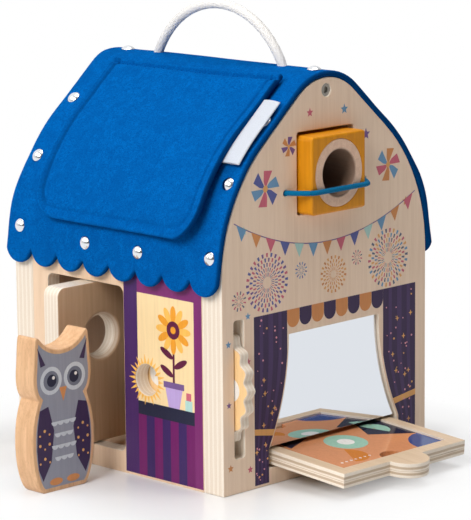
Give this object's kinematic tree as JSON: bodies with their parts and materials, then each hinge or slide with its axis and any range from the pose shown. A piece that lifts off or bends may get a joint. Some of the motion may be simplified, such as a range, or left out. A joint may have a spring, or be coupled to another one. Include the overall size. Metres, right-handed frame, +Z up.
{
  "type": "wooden activity house",
  "caption": "Small plywood activity house with felt roof and rope handle: revolving door, turning wheel, sliding drawer, mirror, sprung block with tube, roof flap and loose wooden owl.",
  "frame": {"origin": "centre of the house's footprint, on the floor under the base board", "axes": "+Z up, the ridge along X with the mirror gable at +X, the doorway at -Y"},
  "size_m": [0.2833, 0.2846, 0.3085],
  "materials": {
    "gable_wood": "clear satin lacquer on birch plywood",
    "wall_wood": "clear satin lacquer on birch plywood",
    "inner_wood": "plain sanded beech",
    "drawer_wood": "clear satin lacquer on birch plywood",
    "wheel_wood": "printed birch plywood",
    "tube_wood": "turned beech, waxed",
    "figure_wood": "printed beech",
    "block_paint": "satin ochre paint on beech",
    "picture_print": "gloss print on thin board",
    "roof_felt": "pressed wool felt",
    "tag_cloth": "blank woven tape",
    "rope": "braided cotton",
    "elastic": "braided elastic",
    "mirror": "polished acrylic mirror",
    "nail_chrome": "bright nickel plate",
    "screw_steel": "zinc plate",
    "washer_plastic": "moulded nylon"
  },
  "bodies": {
    "house": {"mirror_gable": "gable_wood", "plain_gable": "gable_wood", "front_panel": "wall_wood", "back_panel": "wall_wood", "base_board": "wall_wood", "ridge_rail": "inner_wood", "ridge_screws": "screw_steel", "panel_dowels": "inner_wood", "mirror": "mirror", "drawer_runners": "inner_wood", "stop_brackets": "inner_wood", "felt_roof": "roof_felt", "roof_nails": "nail_chrome", "rope_handle": "rope", "elastic_cord": "elastic", "door_pins": "screw_steel", "door_washers": "washer_plastic", "wheel_axle": "inner_wood", "wheel_washer": "screw_steel", "wheel_screw": "screw_steel"},
    "door": {"revolving_door": "wall_wood"},
    "wheel": {"picture_wheel": "wheel_wood"},
    "drawer": {"drawer_base": "drawer_wood", "drawer_frame": "drawer_wood", "drawer_picture": "picture_print", "drawer_pegs": "inner_wood"},
    "block": {"push_block": "block_paint", "block_tube": "tube_wood", "block_flange": "block_paint", "flange_screws": "screw_steel"},
    "flap": {"felt_flap": "roof_felt", "flap_tag": "tag_cloth"},
    "owl": {"owl_figure": "figure_wood"}
  },
  "joints": [
    {"name": "door_pivot", "type": "hinge", "parent": "house", "child": "door", "pos_m": [-0.02975, -0.093, 0.0705], "axis": [0, 0, 1], "continuous": true},
    {"name": "wheel_spin", "type": "hinge", "parent": "house", "child": "wheel", "pos_m": [0.062, -0.08325, 0.069], "axis": [0, 1, 0], "continuous": true},
    {"name": "drawer_slide", "type": "slide", "parent": "house", "child": "drawer", "axis": [0.9976, 0, -0.0698], "range_m": [-0.064, 0.0265]},
    {"name": "block_push", "type": "slide", "parent": "house", "child": "block", "axis": [1, 0, 0], "range_m": [0, 0.01], "stiffness_N_per_m": 300, "springref_m": -0.004, "deforming": ["elastic_cord"]},
    {"name": "flap_hinge", "type": "hinge", "parent": "house", "child": "flap", "pos_m": [0, -0.0225, 0.26172], "axis": [-1, 0, 0], "range_deg": [0, 90]},
    {"name": "owl_lift", "type": "slide", "parent": "house", "child": "owl", "axis": [0, 0, 1], "range_m": [0, 0.12]}
  ]
}
